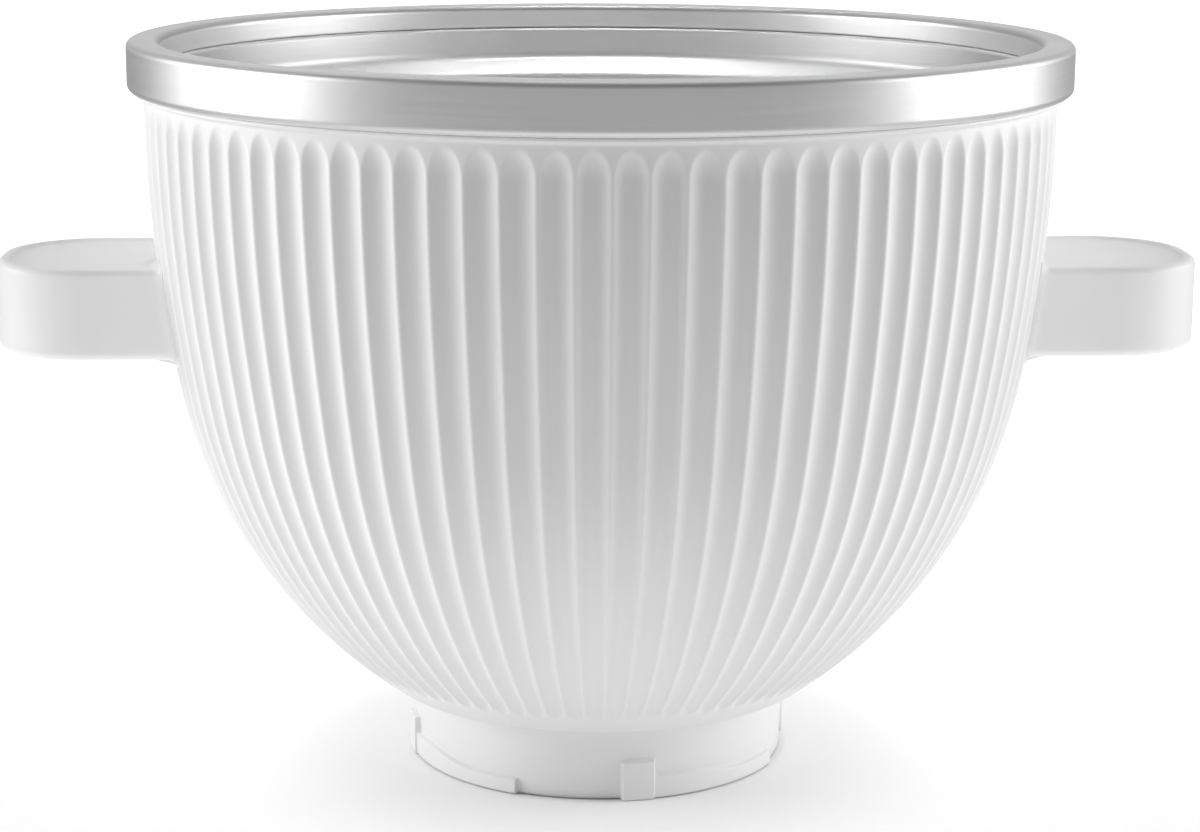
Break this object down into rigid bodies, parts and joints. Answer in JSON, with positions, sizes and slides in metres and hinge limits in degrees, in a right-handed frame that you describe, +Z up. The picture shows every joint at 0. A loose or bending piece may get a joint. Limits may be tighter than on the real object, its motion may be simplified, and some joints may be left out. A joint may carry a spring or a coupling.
{
  "type": "ice cream maker",
  "caption": "Double-walled freezing bowl with a fluted white shell, satin metal rim, two side handles, a bayonet foot and a rotating dasher inside.",
  "frame": {"origin": "centre of the foot's resting face", "axes": "+Z up along the bowl's axis, handles along X"},
  "size_m": [0.3094, 0.24, 0.1884],
  "materials": {
    "shell_plastic": "satin moulded white",
    "ring_metal": "fine satin",
    "bowl_metal": "spun satin",
    "seal_rubber": "matt",
    "jacket_plastic": "natural moulded",
    "coolant": "clear liquid",
    "insulation_foam": "foam",
    "screw_steel": "zinc plated",
    "cover_plastic": "fine texture",
    "handle_plastic": "satin moulded white",
    "pin_steel": "turned",
    "bush_plastic": "acetal",
    "dasher_plastic": "fine texture",
    "wiper_rubber": "silicone"
  },
  "bodies": {
    "root": {"outer_shell": "shell_plastic", "rim_ring": "ring_metal", "inner_bowl": "bowl_metal", "rim_gasket": "seal_rubber", "coolant_jacket": "jacket_plastic", "coolant_fill": "coolant", "insulation": "insulation_foam", "fill_plug": "seal_rubber", "fill_plug_o_ring": "seal_rubber", "foot_ring": "shell_plastic", "foot_gasket": "seal_rubber", "foot_screws": "screw_steel", "base_cover": "cover_plastic", "cover_screws": "screw_steel", "handle_left": "handle_plastic", "handle_right": "handle_plastic", "handle_screws_left": "screw_steel", "handle_screws_right": "screw_steel", "pivot_pin": "pin_steel"},
    "dasher_seat": {"dasher_bush": "bush_plastic"},
    "dasher": {"dasher_frame": "dasher_plastic", "dasher_hub": "dasher_plastic", "dasher_wipers": "wiper_rubber", "drive_insert": "pin_steel", "insert_pin": "pin_steel"}
  },
  "joints": [
    {"name": "dasher_lift", "type": "slide", "parent": "root", "child": "dasher_seat", "axis": [0, 0, 1], "range_m": [0, 0.16]},
    {"name": "dasher_spin", "type": "hinge", "parent": "dasher_seat", "child": "dasher", "pos_m": [0, 0, 0.05], "axis": [0, 0, 1], "continuous": true}
  ]
}
